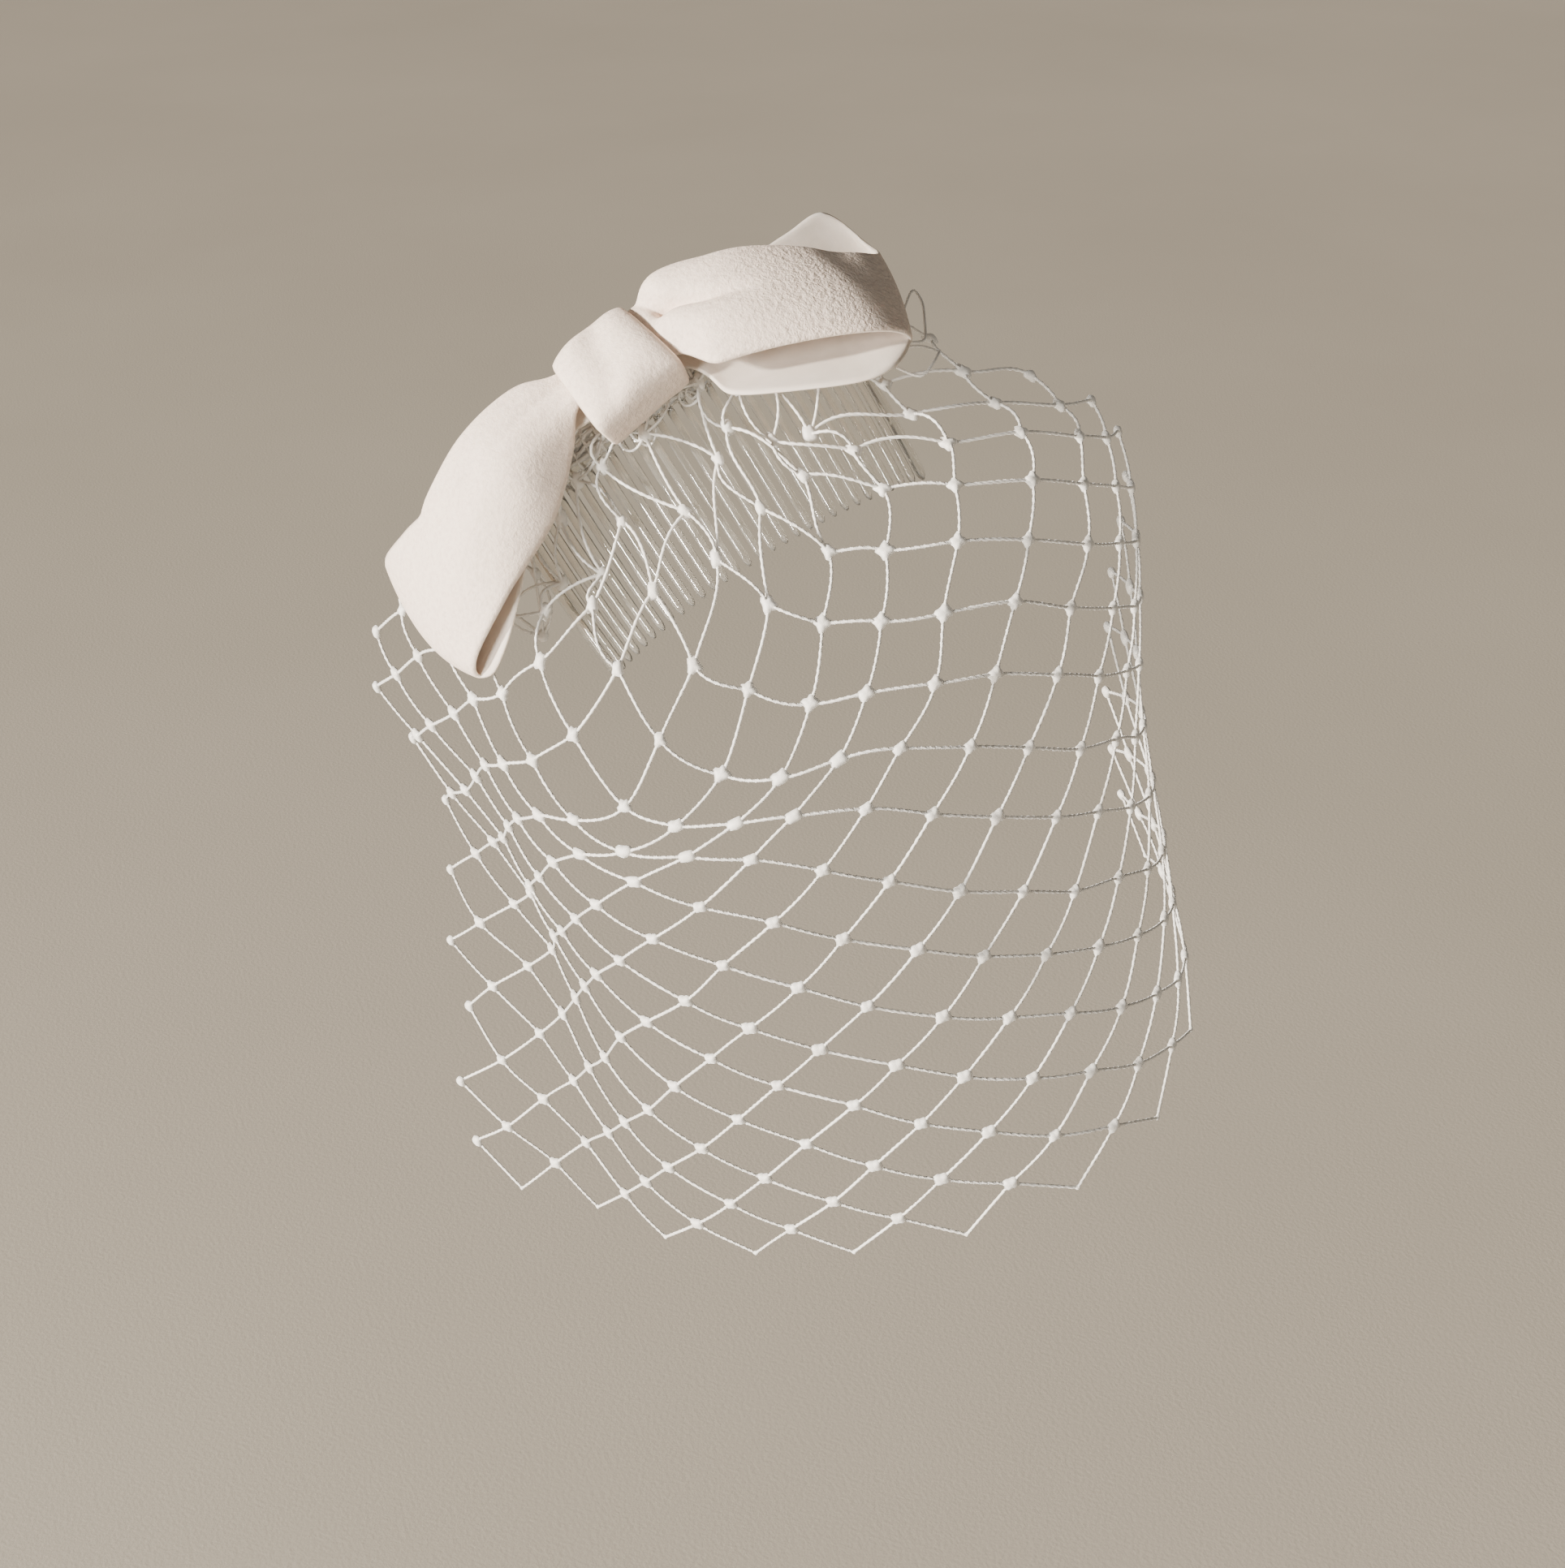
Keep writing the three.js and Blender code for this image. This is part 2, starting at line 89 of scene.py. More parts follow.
# Bow
RIBBON_WIDTH = 50
RIBBON_THICKNESS = 1.1
LEFT_LOOP = 64
RIGHT_LOOP = 53
LEFT_SWEEP = 1
RIGHT_SWEEP = 24
LOOP_RISE = 12
LOOP_STEPS = 130
LOOP_WIDE = 40
BOW_BEND = 84
BOW_SHIFT = -3
BOW_SET_BACK = 5
KNOT_WIDTH = 18
KNOT_FLARE = 1.5
KNOT_DEPTH = 22.5
KNOT_FORWARD = 1.5
KNOT_HEIGHT = 12
SOLID_RIBBON = 1.4
KNOT_GAP = 0.5


# Camera, light and floor

CAMERA_AT = (-0.1378, -0.4554, 0.177)
CAMERA_FORWARD = (0.298, 0.819, -0.491)
CAMERA_LENS = 55.9
CAMERA_SENSOR = 36
CAMERA_NEAR = 0.01
FLOOR_Z = -0.383
FLOOR_HALF = 30000
WALL_COLOUR = (0.42, 0.385, 0.335)
CEILING_COLOUR = (0.1, 0.095, 0.085)
CEILING_FROM = 0.4
WARM = (1, 0.91, 0.8)
PALE = (1, 0.95, 0.88)
KEY_SPREAD = 0.08
STRIP_WIDTH = 0.24
STRIP_LENGTH = 0.55
FRONT_SIZE = 0.9


def add_camera():
    data = bpy.data.cameras.new("photo_view")
    data.sensor_fit = "VERTICAL"
    data.sensor_height = CAMERA_SENSOR
    data.lens = CAMERA_LENS
    data.clip_start = CAMERA_NEAR
    camera = bpy.data.objects.new("photo_view", data)
    camera.location = CAMERA_AT
    camera.rotation_euler = Vector(CAMERA_FORWARD).to_track_quat("-Z", "Y").to_euler()
    bpy.context.collection.objects.link(camera)
    bpy.context.scene.camera = camera


def add_light(name, kind, at, target, power, colour, run=(0, 0, 1)):
    """A light turned to its target. The long side of a strip follows the given direction."""
    data = bpy.data.lights.new(name, kind)
    data.energy = power
    data.color = colour
    back = (Vector(at) - Vector(target)).normalized()
    side = Vector(run).cross(back).normalized()
    light = bpy.data.objects.new(name, data)
    light.rotation_euler = Matrix((side, back.cross(side), back)).transposed().to_euler()
    light.location = at
    bpy.context.collection.objects.link(light)
    return data


def add_lights():
    key = add_light("key", "SUN", at=(-11, -0.1, 2.6), target=(0.02, 0, -0.06), power=10.6, colour=WARM)
    key.angle = KEY_SPREAD
    strip = add_light("strip", "AREA", at=(-1.38, -0.68, 0.24), target=(0, 0, -0.03), power=38, colour=PALE,
                      run=along_teeth)
    strip.shape = "RECTANGLE"
    strip.size = STRIP_WIDTH
    strip.size_y = STRIP_LENGTH
    front = add_light("front", "AREA", at=(-0.2, -1.5, 0.5), target=(0.02, 0, -0.08), power=3, colour=PALE)
    front.size = FRONT_SIZE


def add_world():
    """A studio wall as pale as the floor, darker overhead."""
    world = bpy.data.worlds.new("studio")
    world.use_nodes = True
    tree = world.node_tree
    height = one_axis(tree, texture_coords(tree, "Generated"), "Z")
    wall = ramp(tree, height, [(0, WALL_COLOUR), (CEILING_FROM, CEILING_COLOUR)])
    tree.links.new(wall, tree.nodes["Background"].inputs["Color"])
    bpy.context.scene.world = world


def add_floor():
    corners = [(-FLOOR_HALF, -FLOOR_HALF, 0), (FLOOR_HALF, -FLOOR_HALF, 0),
               (FLOOR_HALF, FLOOR_HALF, 0), (-FLOOR_HALF, FLOOR_HALF, 0)]
    floor = link_mesh("floor", corners, [(0, 1, 2, 3)])
    floor.location.z = FLOOR_Z
    floor.data.materials.append(floor_material())


# Meshes

def shade_smooth(mesh):
    mesh.polygons.foreach_set("use_smooth", np.ones(len(mesh.polygons), dtype=bool))


def link_mesh(name, vertices, faces):
    mesh = bpy.data.meshes.new(name)
    mesh.from_pydata((np.asarray(vertices) * MM).tolist(), [], [list(map(int, face)) for face in faces])
    mesh.validate()
    mesh.update()
    shade_smooth(mesh)
    obj = bpy.data.objects.new(name, mesh)
    bpy.context.collection.objects.link(obj)
    return obj


def round_angles(sides, start=0.0):
    """Even steps of a full turn."""
    return (np.arange(sides) + start) / sides * FULL_TURN


def loft(rings):
    """Vertices and faces of a closed tube through rings of points."""
    sides = len(rings[0])
    faces = []
    for r in range(len(rings) - 1):
        a, b = r * sides, (r + 1) * sides
        for s in range(sides):
            t = (s + 1) % sides
            faces.append((a + s, a + t, b + t, b + s))
    end = (len(rings) - 1) * sides
    faces.append(tuple(range(sides))[::-1])
    faces.append(tuple(range(end, end + sides)))
    return np.concatenate(rings), faces


def joined(parts):
    """Many sets of vertices and faces as one."""
    vertices, faces, first = [], [], 0
    for points, polygons in parts:
        vertices.append(points)
        faces += [tuple(first + k for k in polygon) for polygon in polygons]
        first += len(points)
    return np.concatenate(vertices), faces


def fix_normals(obj):
    bpy.context.view_layer.objects.active = obj
    for other in bpy.context.selected_objects:
        other.select_set(False)
    obj.select_set(True)
    bpy.ops.object.mode_set(mode="EDIT")
    bpy.ops.mesh.select_all(action="SELECT")
    bpy.ops.mesh.normals_make_consistent(inside=False)
    bpy.ops.object.mode_set(mode="OBJECT")


def hand_over(piece, slot, *nodes):
    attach(piece, "root")
    if nodes:
        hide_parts(*nodes)


# Materials

def new_material(name):
    material = bpy.data.materials.new(name)
    material.use_nodes = True
    tree = material.node_tree
    return material, tree, tree.nodes["Principled BSDF"].inputs


def set_values(inputs, values):
    for name, value in values.items():
        inputs[name].default_value = value


def texture_coords(tree, kind="Object"):
    return tree.nodes.new("ShaderNodeTexCoord").outputs[kind]


def one_axis(tree, vector, axis):
    node = tree.nodes.new("ShaderNodeSeparateXYZ")
    tree.links.new(vector, node.inputs["Vector"])
    return node.outputs[axis]


def noise(tree, coords, scale, detail, roughness=0.55):
    texture = tree.nodes.new("ShaderNodeTexNoise")
    set_values(texture.inputs, {"Scale": scale, "Detail": detail, "Roughness": roughness})
    tree.links.new(coords, texture.inputs["Vector"])
    return texture.outputs["Fac"]


def grey(level):
    return level, level, level


def ramp(tree, value, stops):
    node = tree.nodes.new("ShaderNodeValToRGB")
    elements = node.color_ramp.elements
    for element, (place_on_ramp, colour) in zip(elements, stops):
        element.position = place_on_ramp
        element.color = (*colour, 1)
    tree.links.new(value, node.inputs["Fac"])
    return node.outputs["Color"]


def bump(tree, height, distance, strength, normal=None):
    """A bump whose strength is a number or another node's output."""
    node = tree.nodes.new("ShaderNodeBump")
    node.inputs["Distance"].default_value = distance
    if isinstance(strength, float):
        node.inputs["Strength"].default_value = strength
    else:
        tree.links.new(strength, node.inputs["Strength"])
    tree.links.new(height, node.inputs["Height"])
    if normal is not None:
        tree.links.new(normal, node.inputs["Normal"])
    return node.outputs["Normal"]


def velvet_material():
    """The pile lies smooth over most of the bow and is crushed towards its crown end."""
    material, tree, inputs = new_material("velvet")
    coords = texture_coords(tree)
    broad = noise(tree, coords, 55, 2)
    crushed = noise(tree, coords, 950, 3, 0.6)
    pile = noise(tree, coords, 3200, 2)
    colour = ramp(tree, crushed, [(0.32, (0.75, 0.625, 0.54)), (0.6, (0.87, 0.735, 0.635))])
    roughness = ramp(tree, broad, [(0.3, grey(0.62)), (0.7, grey(0.86))])
    wear = ramp(tree, one_axis(tree, coords, "X"), [(0.005, grey(0.35)), (0.035, grey(1))])
    soft = bump(tree, crushed, 0.0006, wear)
    set_values(inputs, {
        "Sheen Weight": 0.25,
        "Sheen Tint": (1, 0.88, 0.8, 1),
        "Sheen Roughness": 0.35,
        "Specular IOR Level": 0.25,
        "Subsurface Weight": 0.12,
        "Subsurface Radius": (1, 0.85, 0.7),
        "Subsurface Scale": 0.0015,
    })
    tree.links.new(colour, inputs["Base Color"])
    tree.links.new(roughness, inputs["Roughness"])
    tree.links.new(bump(tree, pile, 0.0002, 0.4, soft), inputs["Normal"])
    return material


def satin_material():
    material, tree, inputs = new_material("satin_back")
    coords = tree.nodes.new("ShaderNodeUVMap").outputs["UV"]
    weave = tree.nodes.new("ShaderNodeTexWave")
    weave.wave_type = "BANDS"
    weave.bands_direction = "Y"
    set_values(weave.inputs, {"Scale": 60, "Distortion": 1.2})
    tree.links.new(coords, weave.inputs["Vector"])
    mottled = noise(tree, coords, 9, 3)
    colour = ramp(tree, mottled, [(0.3, (0.75, 0.655, 0.57)), (0.7, (0.86, 0.76, 0.67))])
    set_values(inputs, {
        "Roughness": 0.42,
        "Sheen Weight": 0.2,
        "Subsurface Weight": 0.3,
        "Subsurface Radius": (1, 0.85, 0.7),
        "Subsurface Scale": 0.0015,
    })
    tree.links.new(colour, inputs["Base Color"])
    tree.links.new(bump(tree, weave.outputs["Fac"], 0.00015, 0.35), inputs["Normal"])
    return material


def thread_material():
    material, tree, inputs = new_material("white_thread")
    coords = texture_coords(tree)
    uneven = noise(tree, coords, 160, 3)
    fibres = noise(tree, coords, 5200, 2)
    colour = ramp(tree, uneven, [(0.3, (0.8, 0.77, 0.71)), (0.68, (0.93, 0.91, 0.865))])
    set_values(inputs, {"Roughness": 0.5, "Sheen Weight": 0.8, "Sheen Roughness": 0.5})
    tree.links.new(colour, inputs["Base Color"])
    tree.links.new(bump(tree, fibres, 0.0001, 0.5), inputs["Normal"])
    return material


def comb_material():
    material, tree, inputs = new_material("clear_plastic")
    coords = texture_coords(tree)
    ripple = noise(tree, coords, 120, 2)
    scratches = noise(tree, coords, 1800, 3)
    roughness = ramp(tree, scratches, [(0.35, grey(0.02)), (0.75, grey(0.05))])
    set_values(inputs, {
        "Base Color": (0.98, 0.96, 0.9, 1),
        "Transmission Weight": 0.92,
        "IOR": 1.49,
        "Specular IOR Level": 0.9,
        "Coat Weight": 1,
        "Coat Roughness": 0.04,
        "Coat IOR": 1.9,
    })
    tree.links.new(roughness, inputs["Roughness"])
    tree.links.new(bump(tree, ripple, 0.0008, 0.07), inputs["Normal"])
    return material


def floor_material():
    material, tree, inputs = new_material("pale_floor")
    coords = texture_coords(tree)
    mottled = noise(tree, coords, 3, 4)
    grain = noise(tree, coords, 700, 3)
    colour = ramp(tree, mottled, [(0.3, (0.42, 0.378, 0.312)), (0.7, (0.45, 0.406, 0.338))])
    set_values(inputs, {"Roughness": 0.85})
    tree.links.new(colour, inputs["Base Color"])
    tree.links.new(bump(tree, grain, 0.0003, 0.3), inputs["Normal"])
    return material


VELVET = velvet_material()
SATIN = satin_material()
THREAD = thread_material()
CLEAR = comb_material()


# Curves

def unit(v):
    v = np.asarray(v, dtype=float)
    return v / np.linalg.norm(v, axis=-1, keepdims=True)


def square_to(v, axis):
    v = np.asarray(v, dtype=float)
    return unit(v - np.dot(v, axis) * axis)


def flattened(value, power):
    """A sine or cosine drawn out towards a square."""
    return np.sign(value) * np.abs(value) ** power


def eased(share):
    """A share of the way that starts and ends softly."""
    return share ** 2 * (3 - 2 * share)


def run_lengths(path):
    """The length along a path up to each of its points."""
    return np.concatenate([[0], np.cumsum(np.linalg.norm(np.diff(path, axis=0), axis=1))])


def cubic(a, b, leaving, arriving, u):
    """A smooth run from a to b with the given directions at its ends."""
    return ((2 * u ** 3 - 3 * u ** 2 + 1) * a + (u ** 3 - 2 * u ** 2 + u) * leaving
            + (3 * u ** 2 - 2 * u ** 3) * b + (u ** 3 - u ** 2) * arriving)


def smooth(places, values, at):
    """A smooth curve through values at unevenly spaced places."""
    last = len(places) - 1

    def slope(k):
        a, b = max(k - 1, 0), min(k + 1, last)
        return (values[b] - values[a]) / (places[b] - places[a])

    k = 0
    while k < last - 1 and at > places[k + 1]:
        k += 1
    step = places[k + 1] - places[k]
    return cubic(values[k], values[k + 1], step * slope(k), step * slope(k + 1), (at - places[k]) / step)


def catmull(rows, at):
    """A smooth run through evenly spaced rows, at a share of the way along."""
    spans = len(rows) - 1
    k = min(int(at * spans), spans - 1)
    start, end = rows[k], rows[k + 1]
    before = rows[k - 1] if k else 2 * start - end
    after = rows[k + 2] if k + 2 <= spans else 2 * end - start
    return cubic(start, end, (end - before) / 2, (after - start) / 2, at * spans - k)


# Places on the comb, the net and the bow

along_spine = unit((0.858, -0.104, 0.503))
along_teeth = square_to((0.28, -0.724, -0.627), along_spine)
out_of_head = np.cross(along_teeth, along_spine)
along_bow = unit((0.817, 0.026, 0.576))
out_of_bow = square_to((-0.514, -0.422, 0.747), along_bow)
across_bow = np.cross(along_bow, out_of_bow)

TOOTH_TIP = SPINE_HEIGHT / 2 + TOOTH_LENGTH
HEADING_LIFT = SPINE_THICKNESS / 2 + CLEARANCE + HEADING_THICKNESS / 2


def place(origin, parts):
    return origin + sum(np.asarray(amount, dtype=float)[..., None] * axis for amount, axis in parts)


def on_comb(along, down, out):
    angle = np.asarray(along, dtype=float) / COMB_BEND
    radius = COMB_BEND + np.asarray(out, dtype=float)
    return place(np.zeros(3), [
        (radius * np.sin(angle), along_spine),
        (radius * np.cos(angle) - COMB_BEND, out_of_head),
        (down + 0 * angle, along_teeth),
    ])


bow_tilt = -np.dot(across_bow, out_of_head) / np.dot(across_bow, along_teeth)
bow_lift = HEADING_LIFT + HEADING_THICKNESS / 2 + CLEARANCE + bow_tilt * (BOW_SET_BACK - HEADING_WIDTH / 2)
bow_seat = on_comb(BOW_SHIFT, -BOW_SET_BACK, bow_lift)


def on_bow(along, across, out):
    angle = np.asarray(along, dtype=float) / BOW_BEND
    radius = BOW_BEND + np.asarray(out, dtype=float)
    return place(bow_seat, [
        (radius * np.sin(angle), along_bow),
        (radius * np.cos(angle) - BOW_BEND, out_of_bow),
        (across + 0 * angle, across_bow),
    ])


# The net's level sections from the heading to the hem, as in the solid. down and level are shares of
# NET_DROP, and reach is a share of NET_REACH. left and right are the bearings of a section's ends in
# degrees, and reach and level are given at these shares of the way from the left end to the right one.
SECTION_SHARES = [0, 0.18, 0.42, 0.7, 1]
SECTIONS = [
    dict(down=0.13, left=-73, right=29,
         reach=[0.82, 0.86, 0.93, 0.75, 0.67], level=[0.17, 0.165, 0.125, 0.035, -0.015]),
    dict(down=0.26, left=-86, right=49,
         reach=[0.91, 0.93, 1.08, 0.96, 0.81], level=[0.275, 0.265, 0.3, 0.08, 0.05]),
    dict(down=0.43, left=-90, right=58,
         reach=[0.84, 0.84, 1.14, 1.09, 0.88], level=[0.415, 0.42, 0.36, 0.22, 0.145]),
    dict(down=0.65, left=-91, right=66,
         reach=[0.77, 0.7, 1.065, 1.13, 0.86], level=[0.625, 0.605, 0.545, 0.44, 0.305]),
    dict(down=0.83, left=-88, right=67,
         reach=[0.78, 0.685, 0.975, 1.225, 0.88], level=[0.805, 0.775, 0.72, 0.58, 0.455]),
    dict(down=1, left=-85, right=71,
         reach=[0.77, 0.665, 0.89, 1.265, 0.95], level=[0.965, 0.94, 0.88, 0.735, 0.59]),
]
SECTION_STEPS = 48


def section_line(section):
    line = []
    for k in range(SECTION_STEPS + 1):
        share = k / SECTION_STEPS
        turn = math.radians(section["left"] + (section["right"] - section["left"]) * share)
        reach = NET_REACH * smooth(SECTION_SHARES, section["reach"], share)
        level = -NET_DROP * smooth(SECTION_SHARES, section["level"], share)
        line.append((AXIS_SIDE + reach * math.sin(turn), AXIS_BACK - reach * math.cos(turn), level))
    line = np.array(line)
    lengths = run_lengths(line)
    return line, lengths / lengths[-1]


SECTION_LINES = [section_line(section) for section in SECTIONS]


def clear_of_comb(point):
    """A point of the net that would come too close to the teeth is moved out to stand over them."""
    side, up = np.dot(point, along_spine), np.dot(point, out_of_head) + COMB_BEND
    along = abs(COMB_BEND * math.atan2(side, up))
    out = math.hypot(side, up) - COMB_BEND
    down = np.dot(point, along_teeth)
    sweep = TOOTH_SWEEP * (min(max(down, 0), TOOTH_TIP) / TOOTH_LENGTH) ** 2
    least = (TOOTH_THICKNESS + SOLID_STRAND) / 2 + OVER_TEETH - sweep
    beyond = max(along - COMB_ARC / 2, down - TOOTH_TIP, 0)
    near = min(max((TEETH_EASE - beyond) / TEETH_EASE, 0), 1)
    push = max(least - out, 0) * eased(near)
    return point + push * unit(side * along_spine + up * out_of_head)


def drape(across, down):
    """The point of the net's surface at shares of its width and of its drop."""
    along = (across - 0.5) * (COMB_ARC - 2 * HEADING_END)
    points = [on_comb(along, 0, HEADING_LIFT), on_comb(along, HEADING_WIDTH, HEADING_LIFT)]
    points += [np.array([np.interp(across, shares, line[:, axis]) for axis in range(3)])
               for line, shares in SECTION_LINES]
    places = [0, HEADING_WIDTH / NET_DROP] + [section["down"] for section in SECTIONS]
    return clear_of_comb(smooth(places, points, down))


# Thread

THREAD_SIDES = 6
PLY_BULGE = 0.18


def thread_rings(path, reference, radius, pitch):
    """The rings of a two-ply thread along a path: an uneven section that turns as it goes."""
    tangent = unit(np.gradient(path, axis=0))
    one = unit(reference - np.sum(tangent * reference, axis=1, keepdims=True) * tangent)
    two = np.cross(tangent, one)
    theta = round_angles(THREAD_SIDES)
    turn = theta[None, :] + FULL_TURN * run_lengths(path)[:, None] / pitch
    bulge = radius * (1 + PLY_BULGE * np.cos(2 * theta))[None, :]
    return (path[:, None, :] + (bulge * np.cos(turn))[..., None] * one[:, None, :]
            + (bulge * np.sin(turn))[..., None] * two[:, None, :])


def thread_piece(name, paths, references, radius=STRAND_RADIUS, pitch=TWIST_PITCH):
    """Many threads as one mesh. Every thread is a closed tube."""
    tubes = [loft(thread_rings(path, reference, radius, pitch)) for path, reference in zip(paths, references)]
    obj = link_mesh(name, *joined(tubes))
    obj.data.materials.append(THREAD)
    return obj


# Net

# A knot has a row q, counted down from the heading, and a column p, counted from the wearer's right.
# The shares of the drop that the first rows of knots hang at, drawn up in the gathers.
FIRST_ROWS_DOWN = {1: 0.035, 2: 0.08, 3: 0.13}
# Where the crumpled knots of two rows lie on the comb, by column: millimetres along it and down its teeth.
CRUMPLED_ROWS = {
    1: {1: (-43, 13), 3: (-37, 6), 5: (-29, 9), 7: (-22, 5), 9: (-15.5, 6.5), 11: (-5, 6), 13: (9, 3),
        15: (15, 8), 17: (22, 6)},
    2: {2: (-50, 24), 4: (-38, 19), 6: (-28, 24), 8: (-18, 18), 10: (-6, 25), 12: (4.5, 19), 14: (9, 14.5),
        16: (15, 21.5), 18: (22, 24)},
}
CRUMPLED_OUT = 2.6
CRUMPLED_SPREAD = 2
CRUMPLED_TILT = 0.25
# The free edge at the wearer's right waves in and out: by row, millimetres out from the drape.
# EDGE_COLUMNS further in, nothing is left of the wave.
EDGE_WAVE = [(5, 0), (7, 1), (8, 3.5), (10, 0), (12, -3.5), (13, -3), (15, 2.5), (16, 3), (18, -2), (20, 2),
             (23, 0)]
EDGE_COLUMNS = 3
# How far the other knots drift along the drape and lift off it, and how much more in the gathers.
GATHERED_KNOTS = 7
KNOT_DRIFT = 0.5
GATHERED_DRIFT = 1.1
KNOT_LIFT = 0.3
GATHERED_LIFT = 1.6
NUDGE = 0.004
# Below the crumpled rows, one row settles midway between its neighbours.
SETTLED_ROW = 3
SETTLED_LIFT = 0.5

# Strands of the loose rows bend at random. All swell out by their slack, and most in the gathers.
STRAND_STEPS = 25
LOOSE_ROWS = 4
LOOSE_BEND = 0.3
GATHERED_STRANDS = 6
SLACK_SWELL = 0.4
MOST_SWELL = 3
HANGING_SWELL = 0.14
GATHERED_SWELL = 0.86
SWELL_OUT = 0.6
SWELL_OUT_SPREAD = 0.4
SWELL_SIDE_SPREAD = 0.8

# A knot's lens: the round share of its outline, and the share that runs out in points.
LENS_SIDES = 16
LENS_RINGS = 3
LENS_ROUND = 0.58
LENS_POINT = 0.42
LENS_POINT_POWER = 7
LENS_LEAST_SIZE = 0.9
LENS_SPREAD = 0.2
LENS_THICK = 0.95
HEM_LENS_THICK = 0.5
HEM_LENS_SIZE = 0.45


def row_down(q):
    return FIRST_ROWS_DOWN.get(q, q / ROWS)


def normal_at(across, down):
    downward = drape(across, min(down + NUDGE, 1)) - drape(across, max(down - NUDGE, 0))
    sideways = drape(min(across + NUDGE, 1), down) - drape(max(across - NUDGE, 0), down)
    return unit(np.cross(downward, sideways))


def net_knots():
    """The lattice's knots, hung on the drape and a little uneven, with the normal at each."""
    knots, normals = {}, {}
    wave_rows, wave_values = zip(*EDGE_WAVE)
    for q in range(FIRST_ROW, ROWS + 1):
        down = row_down(q)
        for p in range(q % 2, COLUMNS + 1, 2):
            across = p / COLUMNS
            crumpled = CRUMPLED_ROWS.get(q, {}).get(p)
            if crumpled:
                point = on_comb(*crumpled, CRUMPLED_OUT + CRUMPLED_SPREAD * rng.random())
                normal = unit(out_of_head + CRUMPLED_TILT * rng.normal(0, 1, 3))
            else:
                point = drape(across, down)
                normal = normal_at(across, down)
                if q > FIRST_ROW:
                    gathered = max(0, 1 - q / GATHERED_KNOTS)
                    drift = rng.normal(0, KNOT_DRIFT + GATHERED_DRIFT * gathered, 3)
                    drift -= np.dot(drift, normal) * normal
                    lift = abs(rng.normal(0, KNOT_LIFT + GATHERED_LIFT * gathered))
                    point = point + drift + normal * lift
            wave = np.interp(q, wave_rows, wave_values) * max(0, 1 - p / EDGE_COLUMNS)
            knots[q, p] = point + normal * wave
            normals[q, p] = normal
    for p in range(SETTLED_ROW % 2, COLUMNS, 2):
        around = [knots[q, p + side] for q in (SETTLED_ROW - 1, SETTLED_ROW + 1) for side in (1, -1)]
        lift = SETTLED_LIFT + rng.random()
        knots[SETTLED_ROW, p] = clear_of_comb(sum(around) / len(around)) + normals[SETTLED_ROW, p] * lift
    return knots, normals


def strand_paths(knots, normals):
    """A path for each side of each diamond: loose over the comb, and running on smoothly below."""
    paths, references = [], []
    for (q, p), start in knots.items():
        for side in (1, -1):
            end = knots.get((q + 1, p + side))
            if end is None:
                continue
            before = knots.get((q - 1, p - side))
            after = knots.get((q + 2, p + 2 * side))
            chord = end - start
            length = np.linalg.norm(chord)
            normal = unit(normals[q, p] + normals[q + 1, p + side])
            sideways = unit(np.cross(chord, normal))
            if q < LOOSE_ROWS:
                bends = rng.normal(0, LOOSE_BEND, 4) * length
                leaving = chord + bends[0] * sideways + abs(bends[1]) * normal
                arriving = chord + bends[2] * sideways - abs(bends[3]) * normal
            else:
                leaving = chord if before is None else (end - before) / 2
                arriving = chord if after is None else (after - start) / 2
            u = np.linspace(0, 1, STRAND_STEPS)[:, None]
            path = cubic(start, end, leaving, arriving, u)
            slack = max(0.0, STRAND_LENGTH - length)
            swell = min(SLACK_SWELL * math.sqrt(slack * length), MOST_SWELL)
            swell *= HANGING_SWELL + GATHERED_SWELL * max(0, 1 - q / GATHERED_STRANDS)
            out = SWELL_OUT + SWELL_OUT_SPREAD * rng.random()
            direction = unit(normal * out + sideways * rng.normal(0, SWELL_SIDE_SPREAD))
            paths.append(path + direction * swell * 4 * u * (1 - u))
            references.append(normal)
    return paths, references


def lens_side(pole, here, there):
    """Faces from a pole out through the rings round it."""
    faces = np.stack([np.full(LENS_SIDES, pole), pole + 1 + here, pole + 1 + there], axis=1).tolist()
    for r in range(1, LENS_RINGS):
        inner = pole + 1 + (r - 1) * LENS_SIDES
        outer = inner + LENS_SIDES
        faces += np.stack([inner + here, outer + here, outer + there, inner + there], axis=1).tolist()
    return faces


def lens(centre, normal, east, outline, thick):
    """A closed lens with the given outline: its upper side out to the rim, then its lower side."""
    north = np.cross(normal, east)
    theta = round_angles(LENS_SIDES)
    layers = []
    for level in (1, -1):
        layers.append((centre + level * thick * normal)[None])
        for r in range(1, LENS_RINGS + 1):
            share = r / (LENS_RINGS + (level < 0))
            height = level * thick * math.sqrt(1 - share ** 2)
            layers.append(centre + (outline * share * np.cos(theta))[:, None] * east
                          + (outline * share * np.sin(theta))[:, None] * north + height * normal)
    here = np.arange(LENS_SIDES)
    there = (here + 1) % LENS_SIDES
    lower = 1 + LENS_RINGS * LENS_SIDES
    rim = lower - LENS_SIDES
    last = lower + rim
    faces = lens_side(0, here, there) + lens_side(lower, there, here)
    faces += np.stack([last + there, rim + there, rim + here, last + here], axis=1).tolist()
    return np.concatenate(layers), faces


